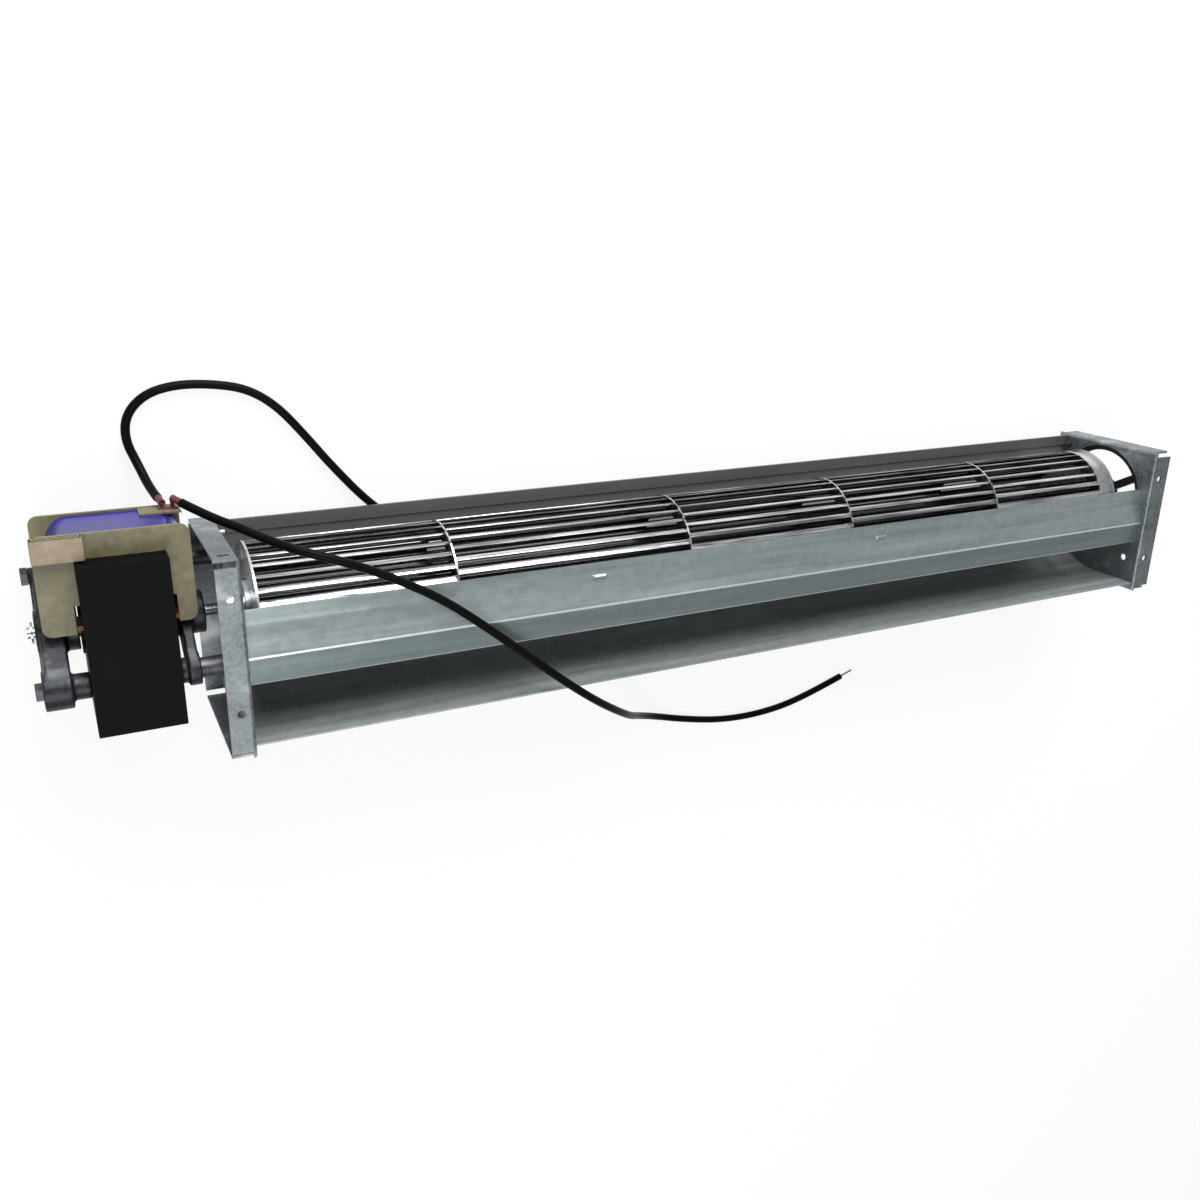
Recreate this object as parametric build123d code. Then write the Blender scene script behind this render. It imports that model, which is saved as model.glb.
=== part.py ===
from build123d import *
from math import cos, radians, sin, tan
import os

# Cross flow fan, lying on the rear flanges of its two end plates.
# X runs along the impeller from the motor to the far bearing, Y from the outlet side to the
# inlet side, Z up from the surface to the front. X = 0 is the inner face of the left plate.

# ---- housing ----
LENGTH = 550.0              # between the inner faces of the end plates
HEIGHT = 90.0               # end plates along Y
DEPTH = 76.0                # end plates along Z
PLATE_T = 1.2
PLATE_BEND_R = 1.6          # outer radius of the folded flanges
LEFT_FLANGE = 10.5
RIGHT_FLANGE = 13.0
CORNER_NOTCH = 3.0          # relief at the flange corners
FLANGE_HOLE_R = 1.8
FLANGE_HOLE_LOW = 21.5
FLANGE_HOLE_PITCH = 51.8
LEFT_HOLE_INSET = 5.2       # flange holes from each plate's inner face
RIGHT_HOLE_INSET = 6.2
SLOT_LENGTH = 5.0
SLOT_WIDTH = 2.2
SLOT_FROM_FRONT = 9.0
CABLE_HOLE_R = 2.0
CABLE_HOLE_Y = 20.0
CABLE_HOLE_Z = 65.0

# ---- axis and impeller ----
AXIS_FROM_TOP = 33.0        # shaft below the top of the end plates
AXIS_Z = 37.5
IMPELLER_R = 29.0
IMPELLER_START = 7.0
FAR_END_GAP = 31.0          # last closed disc to the right plate
SECTION_LENGTHS = (90.0, 125.0, 103.0, 107.0)   # the last section takes what is left
BLADE_COUNT = 28
BLADE_INNER_R = 22.5
BLADE_TIP_INSET = 0.5       # blade tips inside the ring edge
BLADE_SWEEP = 11.0          # degrees round the axis from root to tip
BLADE_T = 0.6
RING_T = 0.8
RING_WIDTH = 7.4
END_DISC_T = 1.0
COLLAR_LENGTH = 12.0
COLLAR_STEP = 1.6           # collar drum below the rim
COLLAR_T = 1.0
SHAFT_R = 2.5
PRESS_GAP = 0.02            # between solids that are pressed together
RUN_GAP = 0.04              # radial running clearance of a shaft
HUB_R = 7.5
HUB_FLANGE_R = 12.0
HUB_FLANGE_T = 2.0
HUB_LENGTH = 11.0
CLAMP_SCREW_R = 1.9
CLAMP_SCREW_END = 9.0
FAR_HUB_R = 6.0
FAR_HUB_LENGTH = 12.0

# ---- scroll wall and tongue rail ----
WALL_T = 0.8
WALL_REAR = 5.0             # rear face above the surface
WALL_FLOOR = 4.5            # outlet floor from the bottom of the plates
SCROLL_R = 40.0
WALL_TOP_INSET = 1.5
WALL_FRONT_INSET = 2.0
HEM = 6.0
LUG_LENGTH = 13.5
LUG_WIDTH = 11.0
TOP_LUG = 9.0
TONGUE_GAP = 2.0            # impeller to tongue
TONGUE_TIP_RISE = 1.6       # above the shaft
TONGUE_TOP = (6.9, -0.8)    # steps (Y, Z) from the tip to the other folds
TONGUE_LEDGE = (-14.1, 3.2)
TONGUE_LIP = (-27.0, 1.2)
TONGUE_HEM = (-28.1, -2.8)
TONGUE_BEND_R = 3.0
TONGUE_LIP_R = 1.5
TONGUE_LUG_WIDTH = 9.0
TONGUE_LUG_HEIGHT = 6.2
TONGUE_LUG_DROP = 20.1      # lug below the tip
TONGUE_LUG_FRONT = 1.9      # lug in front of the tip
LANCE_X = (168.0, 342.0)
LANCE_LENGTH = 7.0
LANCE_WIDTH = 2.4
LANCE_RISE = 1.4

# ---- far bearing ----
CUTOUT_R = 30.5
HOLDER_R = 31.3
HOLDER_RIM = 3.8
HOLDER_T = 2.5
HOLDER_EAR_PCR = 34.5       # screw circle radius
HOLDER_EAR_R = 3.5
HOLDER_ANGLES = (60.0, 180.0, 300.0)
SPOKE_WIDTH = 5.0
RIB_T = 1.6
RIB_DEPTH = 8.0
BEARING_HUB_R = 9.0
BEARING_HUB_LENGTH = 12.0
BEARING_HUB_INSET = 4.0     # hub start inside the plate
RUBBER_R = 7.0
BUSH_R = 4.5
BUSH_LENGTH = 11.0
CLIP_R = 4.6
CLIP_T = 0.8

# ---- screws ----
SHEET_SCREW_R = 1.45
SHEET_HEAD_R = 2.9
SHEET_HEAD_T = 2.0
SHEET_SCREW_LENGTH = 5.0
SCREW_GAP = 0.15
MOTOR_SCREW_R = 2.0
MOTOR_HEAD_R = 4.0
MOTOR_HEAD_T = 2.8
NUT_R = 4.0
NUT_T = 3.2
THREAD_END = 0.8

# ---- motor ----
STACK = 35.0                # lamination stack
STACK_INSET = 24.8          # plate's outer face to the stack
CORE_WIDTH = 61.0
CORE_BOTTOM = 39.0          # axis to the bottom of the core
YOKE_TOP = 14.9             # axis to the window
WINDOW_HEIGHT = 9.6
COIL_BAR = 10.0
LEG = 12.0
STATOR_BORE_R = 11.9
AIR_GAP = 0.4
ROTOR_RING_T = 1.0
HUB_HOLE_R = 22.0
SCREW_DY = 18.0             # through screws from the axis
SCREW_DZ = 22.0
SHADE_BAR = 2.0
SHADE_GAP = 0.1
SHADE_DY = 7.5
SHADE_NEAR = 12.1
SHADE_FAR = 23.0
PILLAR_FRONT_R = 5.5
PILLAR_REAR_R = 3.7
SPACER_FRONT_R = 4.5
BRACKET_OUT = 18.0          # outer bracket beyond the stack
BRACKET_IN = 8.0
BRIDGE_WIDTH = 6.0
BRIDGE_OUT_T = 7.5
BRIDGE_IN_T = 4.0
BOSS_R = 7.5
BOSS_CLEAR = 1.5            # boss to the stack
INNER_BOSS_OUT = 6.0        # inner boss beyond its bridge
MOTOR_BUSH_R = 5.0
MOTOR_BUSH_LENGTH = 8.0
SHAFT_OUT = 3.0             # shaft beyond the outer bracket

# ---- coil ----
BOBBIN_T = 2.0
BOBBIN_TUBE_T = 1.0
BOBBIN_GAP = 0.1
BOBBIN_SIDE_OUT = 15.0      # flange beyond the stack on the outer side
BOBBIN_SIDE_IN = 10.0
BOBBIN_TOP_RISE = 45.0      # above the shaft
BOBBIN_LOW_RISE = 3.0
BOBBIN_REAR_RISE = 19.2
BOBBIN_CORNER_R = 4.0
NOTCH_GAP = 0.3
COIL_OUT = 9.0              # winding beyond the stack
COIL_IN = 9.0
COIL_TOP_RISE = 44.0
COIL_LOW_RISE = 17.2
COIL_TOP_R = 9.5
COIL_LOW_R = 5.0
SOCKET_RISE = 4.5
SOCKET_WIDTH = 19.0
SOCKET_HEIGHT = 9.6
SOCKET_WALL = 1.5
SHELF_T = 0.8
SHELF_WIDTH = 17.0
SHELF_DEPTH = 11.5
TAG_T = 0.6
TAG_WIDTH = 4.0
TAG_LENGTH = 7.5
BARREL_R = 1.6
BARREL_LENGTH = 5.0
TAG_POST_R = 0.9

# ---- lead wires ----
LEAD_R = 2.0
CONDUCTOR_R = 0.6
CONDUCTOR_LENGTH = 9.0
REAR_ROUTE = [
    (-24.0, 3.7, 21.0), (-26.0, 6.2, 13.0), (-29.0, 15.2, 4.6), (-33.0, 26.2, 2.02),
    (-31.5, 37.2, 2.02), (-23.0, 45.7, 2.02), (-10.0, 49.2, 2.02), (6.0, 48.7, 2.02),
    (21.0, 45.7, 2.02), (33.5, 37.2, 2.02), (45.0, 23.2, 2.02), (57.0, 7.2, 2.02),
    (74.0, -12.8, 2.02), (96.0, -30.8, 2.02), (122.0, -42.8, 2.02), (154.0, -48.8, 2.02),
    (190.0, -51.8, 2.02), (226.0, -49.8, 2.02), (262.0, -51.3, 2.02), (293.0, -56.8, 2.02),
    (323.0, -64.3, 2.02), (352.5, -68.8, 2.02), (382.0, -67.8, 2.02),
]
FRONT_ROUTE = [
    (-15.5, 2.8, 30.0), (-5.0, -2.3, 41.0), (5.0, -4.8, 53.0), (13.0, -7.3, 66.0),
    (23.0, -10.3, 76.5), (36.0, -14.3, 80.5), (52.0, -21.3, 80.0), (68.0, -29.8, 79.5),
    (86.0, -40.8, 79.0), (106.0, -56.8, 79.0), (128.0, -75.8, 79.5), (146.0, -91.3, 80.5),
    (165.0, -106.3, 78.0), (186.0, -121.8, 66.0), (204.0, -136.8, 42.0), (221.0, -150.8, 17.0),
    (240.0, -160.8, 3.4), (262.0, -167.8, 2.02), (290.0, -173.8, 2.02), (320.0, -174.8, 2.02),
    (350.0, -170.3, 2.02), (380.0, -160.3, 2.02),
]


# ---- shared places ----
AXIS_Y = HEIGHT - AXIS_FROM_TOP
WEB_X = (-PLATE_T, LENGTH + PLATE_T)                    # outer faces of the plate webs
STACK_X = (-PLATE_T - STACK_INSET - STACK, -PLATE_T - STACK_INSET)
OUTER_FACE = STACK_X[0] - BRACKET_OUT
INNER_FACE = STACK_X[1] + BRACKET_IN
CORE_Z = (AXIS_Z - CORE_WIDTH / 2, AXIS_Z + CORE_WIDTH / 2)
WINDOW_Z = (CORE_Z[0] + LEG, CORE_Z[1] - LEG)
WINDOW_Y = (AXIS_Y + YOKE_TOP, AXIS_Y + YOKE_TOP + WINDOW_HEIGHT)
BAR_Y = (WINDOW_Y[1], WINDOW_Y[1] + COIL_BAR)
MOTOR_SCREWS = (
    (AXIS_Y - SCREW_DY, AXIS_Z + SCREW_DZ, PILLAR_FRONT_R, SPACER_FRONT_R),
    (AXIS_Y + SCREW_DY, AXIS_Z - SCREW_DZ, PILLAR_REAR_R, PILLAR_REAR_R),
)
SCROLL_Y = WALL_FLOOR + SCROLL_R
SCROLL_Z = WALL_REAR + SCROLL_R
WALL_TOP = HEIGHT - WALL_TOP_INSET
TONGUE_TIP_Y = AXIS_Y + TONGUE_TIP_RISE
TONGUE_Z = AXIS_Z + IMPELLER_R + TONGUE_GAP + WALL_T
DIAGONAL = cos(radians(45))
CORNER_LUG_R = SCROLL_R - WALL_T / 2 + LUG_LENGTH / 2
CORNER_SCREW_R = SCROLL_R + LUG_LENGTH / 2 + WALL_T
RAIL_LUG_Y = TONGUE_TIP_Y - TONGUE_LUG_DROP
RAIL_LUG_Z = TONGUE_Z + TONGUE_LUG_FRONT
SHEET_SCREWS = (
    (SCROLL_Y - CORNER_SCREW_R * DIAGONAL, SCROLL_Z - CORNER_SCREW_R * DIAGONAL),
    (WALL_TOP - TOP_LUG / 2, WALL_REAR + TOP_LUG / 2 + WALL_T),
    (RAIL_LUG_Y, RAIL_LUG_Z - TONGUE_LUG_HEIGHT / 2),
)
HOLDER_SCREWS = tuple(
    (AXIS_Y + HOLDER_EAR_PCR * cos(radians(a)), AXIS_Z + HOLDER_EAR_PCR * sin(radians(a)))
    for a in HOLDER_ANGLES
)
DIVIDER_X = [IMPELLER_START + END_DISC_T]
for span in SECTION_LENGTHS:
    DIVIDER_X.append(DIVIDER_X[-1] + span)
FAR_X = LENGTH - FAR_END_GAP
DIVIDER_X.append(FAR_X)
BEARING_X = LENGTH - BEARING_HUB_INSET
BUSH_X = BEARING_X + (BEARING_HUB_LENGTH - BUSH_LENGTH) / 2


# ---- building blocks ----
def section(x):
    """Plane across the fan at x; its first axis is Y and its second is Z."""
    return Plane(origin=(x, 0, 0), x_dir=(0, 1, 0), z_dir=(1, 0, 0))


def block(x0, x1, y0, y1, z0, z1):
    """Box between the given faces."""
    centre = Pos((x0 + x1) / 2, (y0 + y1) / 2, (z0 + z1) / 2)
    return centre * Box(abs(x1 - x0), abs(y1 - y0), abs(z1 - z0))


def rod(x0, x1, radius, y=AXIS_Y, z=AXIS_Z, bore=0.0):
    """Round bar or tube along X."""
    face = Circle(radius) - Circle(bore) if bore else Circle(radius)
    return extrude(section(min(x0, x1)) * Pos(y, z) * face, amount=abs(x1 - x0))


def hexagon(x0, x1, radius, y, z, bore=0.0):
    """Hexagon head or nut along X."""
    face = RegularPolygon(radius, 6)
    if bore:
        face = face - Circle(bore)
    return extrude(section(min(x0, x1)) * Pos(y, z) * face, amount=abs(x1 - x0))


def joined(pieces):
    """Pieces fused into one solid."""
    return pieces[0].fuse(*pieces[1:]).clean()


def group(solids):
    """Separate solids kept as one sub-part."""
    return Compound(children=list(solids))


def folded_sheet(line, side):
    """Sheet of the wall's thickness between the plates, folded along a line across the fan."""
    outline = offset(line, amount=WALL_T, side=side)
    return extrude(section(0) * make_face(outline.edges()), amount=LENGTH)


# ---- end plates ----
def end_plate(inner_x, flange, outward, hole_inset, hub_hole_r):
    """Folded tray with four outward flanges, notched where two flanges meet."""
    outer_face = inner_x + outward * PLATE_T
    rim = inner_x + outward * flange
    shell = block(inner_x, rim, 0, HEIGHT, 0, DEPTH)
    near_web = -1 if outward < 0 else 0
    shell = fillet(shell.edges().group_by(Axis.X)[near_web], PLATE_BEND_R)
    hollow = block(outer_face, rim + outward, PLATE_T, HEIGHT - PLATE_T, PLATE_T, DEPTH - PLATE_T)
    hollow = fillet(hollow.edges().group_by(Axis.X)[near_web], PLATE_BEND_R - PLATE_T)
    plate = shell - hollow
    start = inner_x + outward * PLATE_BEND_R
    for y in (CORNER_NOTCH / 2, HEIGHT - CORNER_NOTCH / 2):
        for z in (CORNER_NOTCH / 2, DEPTH - CORNER_NOTCH / 2):
            half = CORNER_NOTCH / 2
            plate -= block(start, rim + outward, y - half, y + half, z - half, z + half)
    hole_x = inner_x + outward * hole_inset
    for y in (FLANGE_HOLE_LOW, FLANGE_HOLE_LOW + FLANGE_HOLE_PITCH):
        plate -= Pos(hole_x, y, DEPTH) * Cylinder(FLANGE_HOLE_R, 4 * PLATE_T)
    cutter = (inner_x - outward, outer_face + outward)
    plate -= rod(*cutter, hub_hole_r)
    for y, z in SHEET_SCREWS:
        plate -= rod(*cutter, SHEET_SCREW_R + SCREW_GAP, y, z)
    return plate


def left_end_plate():
    """Plate that carries the motor."""
    plate = end_plate(0.0, LEFT_FLANGE, -1, LEFT_HOLE_INSET, HUB_HOLE_R)
    for y, z, _, _ in MOTOR_SCREWS:
        plate -= rod(-2 * PLATE_T, PLATE_T, MOTOR_SCREW_R + SCREW_GAP, y, z)
    slot = Pos(-LEFT_HOLE_INSET, HEIGHT, DEPTH - SLOT_FROM_FRONT) * Rot(90, 0, 0)
    return plate - slot * extrude(SlotOverall(SLOT_LENGTH, SLOT_WIDTH), 2 * PLATE_T, both=True)


def right_end_plate():
    """Plate with the opening that the impeller goes in through."""
    plate = end_plate(LENGTH, RIGHT_FLANGE, 1, RIGHT_HOLE_INSET, CUTOUT_R)
    plate -= rod(LENGTH - 1, WEB_X[1] + 1, CABLE_HOLE_R, CABLE_HOLE_Y, CABLE_HOLE_Z)
    for y, z in HOLDER_SCREWS:
        plate -= rod(LENGTH - 1, WEB_X[1] + 1, SHEET_SCREW_R + SCREW_GAP, y, z)
    return plate


# ---- duct sheets ----
def end_lugs(sheet, outline, screw):
    """Sheet with the same lug folded against both end plates."""
    for x in (0.0, LENGTH - WALL_T):
        sheet += extrude(section(x) * outline, amount=WALL_T)
        sheet -= rod(x - WALL_T, x + 2 * WALL_T, SHEET_SCREW_R + SCREW_GAP, *screw)
    return sheet


def scroll_wall():
    """Rear wall that curves forward into the outlet floor, hemmed along its top edge."""
    line = FilletPolyline(
        (WALL_TOP, WALL_REAR), (WALL_FLOOR, WALL_REAR), (WALL_FLOOR, DEPTH - WALL_FRONT_INSET),
        radius=SCROLL_R,
    )
    wall = folded_sheet(line, Side.RIGHT)
    inner = WALL_REAR + WALL_T
    wall += block(0, LENGTH, WALL_TOP - HEM, WALL_TOP, inner, inner + WALL_T)
    lug_y = SCROLL_Y - CORNER_LUG_R * DIAGONAL
    lug_z = SCROLL_Z - CORNER_LUG_R * DIAGONAL
    corner = Pos(lug_y, lug_z) * Rot(0, 0, 45) * Rectangle(LUG_LENGTH, LUG_WIDTH)
    wall = end_lugs(wall, corner, SHEET_SCREWS[0])
    top = Pos(WALL_TOP - TOP_LUG / 2, WALL_REAR + WALL_T / 2 + TOP_LUG / 2) * Rectangle(TOP_LUG, TOP_LUG)
    return end_lugs(wall, top, SHEET_SCREWS[1])


def tongue_rail():
    """Front rail: strip above the tongue, tongue, ledge and hemmed lip over the outlet."""
    steps = (TONGUE_TOP, (0.0, 0.0), TONGUE_LEDGE, TONGUE_LIP, TONGUE_HEM)
    points = [(TONGUE_TIP_Y + dy, TONGUE_Z + dz) for dy, dz in steps]
    line = FilletPolyline(*points, radius=[TONGUE_BEND_R, TONGUE_BEND_R, TONGUE_LIP_R])
    rail = folded_sheet(line, Side.LEFT)
    for x in LANCE_X:
        lance = Pos(x, TONGUE_TIP_Y, TONGUE_Z) * Box(LANCE_LENGTH, LANCE_WIDTH, 2 * LANCE_RISE)
        rail += chamfer(lance.edges().group_by(Axis.Z)[-1], LANCE_RISE / 2)
    lug = Pos(RAIL_LUG_Y, RAIL_LUG_Z - TONGUE_LUG_HEIGHT / 2)
    return end_lugs(rail, lug * Rectangle(TONGUE_LUG_WIDTH, TONGUE_LUG_HEIGHT), SHEET_SCREWS[2])


# ---- impeller ----
def blade_section(start, end, stagger):
    """Ring of forward-curved blades fused with the divider at its far end."""
    tip_r = IMPELLER_R - BLADE_TIP_INSET
    tip = (tip_r * cos(radians(BLADE_SWEEP)), tip_r * sin(radians(BLADE_SWEEP)))
    camber = TangentArc((BLADE_INNER_R, 0), tip, tangent=(1, 0))
    blade = make_face(offset(camber, amount=BLADE_T, side=Side.LEFT).edges())
    plane = section(start) * Pos(AXIS_Y, AXIS_Z)
    pitch = 360 / BLADE_COUNT
    blades = [
        extrude(plane * Rot(0, 0, stagger + i * pitch) * blade, amount=end - start - RING_T / 2)
        for i in range(BLADE_COUNT)
    ]
    return joined([rod(end - RING_T, end, IMPELLER_R, bore=IMPELLER_R - RING_WIDTH)] + blades)


def drive_end_disc():
    """Closed disc that the hub drives."""
    return rod(IMPELLER_START, IMPELLER_START + END_DISC_T, IMPELLER_R, bore=SHAFT_R + PRESS_GAP)


def far_end_disc():
    """Closed disc with a drum collar, a rim and a hub for the stub shaft."""
    rim = FAR_X + COLLAR_LENGTH
    drum_r = IMPELLER_R - COLLAR_STEP
    bore = SHAFT_R + PRESS_GAP
    return joined([
        rod(FAR_X, FAR_X + END_DISC_T, IMPELLER_R, bore=bore),
        rod(FAR_X, rim, drum_r, bore=drum_r - COLLAR_T),
        rod(rim - COLLAR_T, rim, IMPELLER_R, bore=drum_r - COLLAR_T),
        rod(FAR_X, FAR_X + FAR_HUB_LENGTH, FAR_HUB_R, bore=bore),
    ])


def drive_hub():
    """Turned hub, clamped to the motor shaft by one screw, with a flange on the end disc."""
    start = IMPELLER_START - HUB_LENGTH
    hub = joined([
        rod(start, IMPELLER_START, HUB_R, bore=SHAFT_R + PRESS_GAP),
        rod(IMPELLER_START - HUB_FLANGE_T, IMPELLER_START, HUB_FLANGE_R, bore=SHAFT_R + PRESS_GAP),
    ])
    return hub - clamp_screw(PRESS_GAP)


def clamp_screw(gap=0.0):
    """Radial screw in the hub, standing on the shaft."""
    x = IMPELLER_START - HUB_FLANGE_T - (HUB_LENGTH - HUB_FLANGE_T) / 2
    length = CLAMP_SCREW_END - SHAFT_R
    centre = Pos(x, AXIS_Y + SHAFT_R + length / 2, AXIS_Z)
    return centre * Rot(90, 0, 0) * Cylinder(CLAMP_SCREW_R + gap, length)


def retaining_rings():
    """Rings that keep both shafts in their bearings."""
    places = (
        OUTER_FACE - 2 * CLIP_T,
        BUSH_X - 2 * CLIP_T,
        BUSH_X + BUSH_LENGTH + CLIP_T,
    )
    return group(rod(x, x + CLIP_T, CLIP_R, bore=SHAFT_R + PRESS_GAP) for x in places)


# ---- far bearing ----
def bearing_holder():
    """Moulded spider over the opening of the right plate."""
    face = WEB_X[1]
    hub_end = BEARING_X + BEARING_HUB_LENGTH
    pieces = [
        rod(face, face + HOLDER_T, HOLDER_R, bore=HOLDER_R - HOLDER_RIM),
        rod(BEARING_X, hub_end, BEARING_HUB_R, bore=RUBBER_R),
    ]
    for angle in HOLDER_ANGLES:
        plane = section(face) * Pos(AXIS_Y, AXIS_Z) * Rot(0, 0, angle)
        reach = HOLDER_R - HOLDER_RIM / 2
        inner = (RUBBER_R + BEARING_HUB_R) / 2
        spoke = Pos((inner + reach) / 2, 0) * Rectangle(reach - inner, SPOKE_WIDTH)
        rib = Pos((inner + reach) / 2, 0) * Rectangle(reach - inner, RIB_T)
        pad = Pos((reach + HOLDER_EAR_PCR) / 2, 0) * Rectangle(HOLDER_EAR_PCR - reach, 2 * HOLDER_EAR_R)
        ear = pad + Pos(HOLDER_EAR_PCR, 0) * Circle(HOLDER_EAR_R)
        pieces.append(extrude(plane * (spoke + ear), amount=HOLDER_T))
        pieces.append(extrude(plane * rib, amount=hub_end - face))
    holder = joined(pieces)
    for y, z in HOLDER_SCREWS:
        holder -= rod(face - 1, face + 2 * HOLDER_T, SHEET_SCREW_R + SCREW_GAP, y, z)
    return holder


def far_bearing_rubber():
    """Rubber ring between the spider and the bush."""
    return rod(BEARING_X, BEARING_X + BEARING_HUB_LENGTH, RUBBER_R - PRESS_GAP, bore=BUSH_R)


def far_bearing_bush():
    """Sintered bush for the stub shaft."""
    return rod(BUSH_X, BUSH_X + BUSH_LENGTH, BUSH_R - PRESS_GAP, bore=SHAFT_R + RUN_GAP)


# ---- motor ----
def motor_core():
    """Laminated core: bored yoke with two legs that hold the coil bar between them."""
    body = block(*STACK_X, AXIS_Y - CORE_BOTTOM, WINDOW_Y[0], *CORE_Z)
    body += block(*STACK_X, WINDOW_Y[0], BAR_Y[1], CORE_Z[0], WINDOW_Z[0])
    body += block(*STACK_X, WINDOW_Y[0], BAR_Y[1], WINDOW_Z[1], CORE_Z[1])
    through = (STACK_X[0] - 1, STACK_X[1] + 1)
    body -= rod(*through, STATOR_BORE_R)
    for y, z, _, _ in MOTOR_SCREWS:
        body -= rod(*through, MOTOR_SCREW_R + SCREW_GAP, y, z)
    half = SHADE_BAR / 2 + SHADE_GAP
    for sign in (1, -1):
        y = AXIS_Y + sign * SHADE_DY
        for step in (SHADE_NEAR, SHADE_FAR):
            z = AXIS_Z + sign * step
            body -= block(*through, y - half, y + half, z - half, z + half)
    return body


def coil_core_bar():
    """Laminated bar through the bobbin, held between the legs."""
    return block(*STACK_X, *BAR_Y, *WINDOW_Z)


def shading_rings():
    """Closed copper loop round a part of each pole."""
    loops = []
    half = SHADE_BAR / 2
    ends = (STACK_X[0] - SHADE_BAR, STACK_X[1] + SHADE_BAR)
    for sign in (1, -1):
        y = AXIS_Y + sign * SHADE_DY
        low, high = sorted((AXIS_Z + sign * SHADE_NEAR, AXIS_Z + sign * SHADE_FAR))
        loop = block(*ends, y - half, y + half, low - half, high + half)
        loops.append(loop - block(*STACK_X, y - half, y + half, low + half, high - half))
    return group(loops)


def bearing_bracket(stack_face, outer_face, outward, bridge_t, boss):
    """Die-cast bracket: two pillars, the bridge between them and the bearing boss."""
    bridge_z = (outer_face - outward * bridge_t, outer_face)
    pieces = [rod(*boss, BOSS_R)]
    for y, z, pillar_r, _ in MOTOR_SCREWS:
        pieces.append(rod(stack_face, outer_face, pillar_r, y, z))
        run = Vector(y - AXIS_Y, z - AXIS_Z, 0)
        angle = Vector(1, 0, 0).get_signed_angle(run, Vector(0, 0, 1))
        arm = Rot(0, 0, angle) * Pos(run.length / 2, 0) * Rectangle(run.length, BRIDGE_WIDTH)
        arm_face = section(min(bridge_z)) * Pos(AXIS_Y, AXIS_Z) * arm
        pieces.append(extrude(arm_face, amount=bridge_t))
    bracket = joined(pieces)
    bracket -= rod(min(boss) - 1, max(boss) + 1, MOTOR_BUSH_R)
    for y, z, _, _ in MOTOR_SCREWS:
        span = sorted((stack_face - outward, outer_face + outward))
        bracket -= rod(*span, MOTOR_SCREW_R + SCREW_GAP, y, z)
    return bracket


def outer_bearing_bracket():
    """Bracket on the outer side of the motor."""
    boss = (OUTER_FACE, STACK_X[0] - BOSS_CLEAR)
    return bearing_bracket(STACK_X[0], OUTER_FACE, -1, BRIDGE_OUT_T, boss)


def inner_bearing_bracket():
    """Bracket between the motor and the end plate."""
    boss = (STACK_X[1] + BOSS_CLEAR, INNER_FACE + INNER_BOSS_OUT)
    return bearing_bracket(STACK_X[1], INNER_FACE, 1, BRIDGE_IN_T, boss)


def motor_bushes():
    """Sintered bush in each bracket's boss."""
    outer = OUTER_FACE + (BRACKET_OUT - BOSS_CLEAR - MOTOR_BUSH_LENGTH) / 2
    inner = INNER_FACE + INNER_BOSS_OUT - MOTOR_BUSH_LENGTH
    return group(
        rod(x, x + MOTOR_BUSH_LENGTH, MOTOR_BUSH_R - PRESS_GAP, bore=SHAFT_R + RUN_GAP)
        for x in (outer, inner)
    )


def motor_spacers():
    """Tubes between the inner bracket and the end plate."""
    return group(
        rod(INNER_FACE, WEB_X[0], r, y, z, bore=MOTOR_SCREW_R + SCREW_GAP)
        for y, z, _, r in MOTOR_SCREWS
    )


def motor_screws():
    """Long screws through brackets, core, spacers and plate."""
    return group(
        joined([
            hexagon(OUTER_FACE - MOTOR_HEAD_T, OUTER_FACE, MOTOR_HEAD_R, y, z),
            rod(OUTER_FACE, NUT_T + THREAD_END, MOTOR_SCREW_R, y, z),
        ])
        for y, z, _, _ in MOTOR_SCREWS
    )


def motor_nuts():
    """Nuts on the inner face of the left plate."""
    return group(
        hexagon(0, NUT_T, NUT_R, y, z, bore=MOTOR_SCREW_R + PRESS_GAP)
        for y, z, _, _ in MOTOR_SCREWS
    )


def motor_rotor():
    """Squirrel-cage rotor with a cast ring at each end."""
    radius = STATOR_BORE_R - AIR_GAP
    return rod(
        STACK_X[0] - ROTOR_RING_T, STACK_X[1] + ROTOR_RING_T, radius, bore=SHAFT_R + PRESS_GAP
    )


def motor_shaft():
    """Shaft from the outer bush to the drive hub."""
    return rod(OUTER_FACE - SHAFT_OUT, IMPELLER_START + END_DISC_T, SHAFT_R)


def stub_shaft():
    """Shaft from the far disc through the far bearing."""
    return rod(FAR_X, BUSH_X + BUSH_LENGTH + 3 * CLIP_T, SHAFT_R)


# ---- coil ----
BOBBIN_TOP = AXIS_Y + BOBBIN_TOP_RISE
BOBBIN_LOW = AXIS_Y + BOBBIN_LOW_RISE
BOBBIN_REAR_LOW = AXIS_Y + BOBBIN_REAR_RISE
COIL_TOP = AXIS_Y + COIL_TOP_RISE
COIL_LOW = AXIS_Y + COIL_LOW_RISE
BOBBIN_X = (STACK_X[0] - BOBBIN_SIDE_OUT, STACK_X[1] + BOBBIN_SIDE_IN)
TUBE_X = (STACK_X[0] - BOBBIN_TUBE_T - BOBBIN_GAP, STACK_X[1] + BOBBIN_TUBE_T + BOBBIN_GAP)
TUBE_Y = (BAR_Y[0] - BOBBIN_TUBE_T - BOBBIN_GAP, BAR_Y[1] + BOBBIN_TUBE_T + BOBBIN_GAP)
FLANGE_GAP = 0.5
FRONT_Z = (WINDOW_Z[1] - FLANGE_GAP - BOBBIN_T, WINDOW_Z[1] - FLANGE_GAP)
REAR_Z = (WINDOW_Z[0] + FLANGE_GAP, WINDOW_Z[0] + FLANGE_GAP + BOBBIN_T)
SHELF_Y = (COIL_TOP, COIL_TOP + SHELF_T)
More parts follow.
